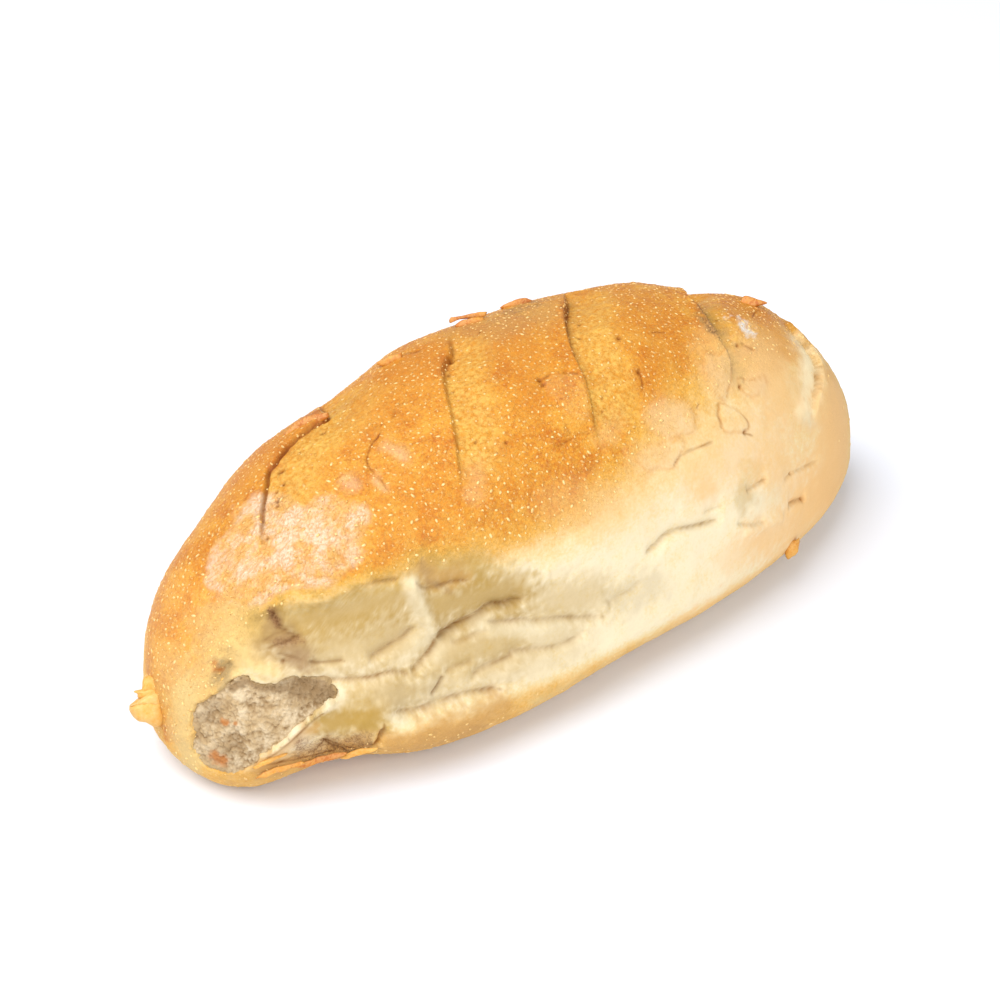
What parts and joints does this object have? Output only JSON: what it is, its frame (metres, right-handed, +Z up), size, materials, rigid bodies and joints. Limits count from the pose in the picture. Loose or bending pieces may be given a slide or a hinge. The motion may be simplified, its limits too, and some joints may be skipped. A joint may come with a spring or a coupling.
{
  "type": "white bread loaf",
  "caption": "Oval white bread loaf with diagonal slashes over a golden crown, a creased pale flank and a torn end that shows the crumb.",
  "frame": {"origin": "middle of the loaf's box, on the surface it stands on", "axes": "+X along the loaf towards its whole end, -Y towards the creased flank, +Z up"},
  "size_m": [0.3024, 0.1246, 0.1056],
  "materials": {
    "crust": "baked wheat crust: golden and faintly glossy on the crown, floury cream on the flank, dry open crumb where it is torn"
  },
  "bodies": {
    "root": {"loaf": "crust"}
  },
  "joints": []
}
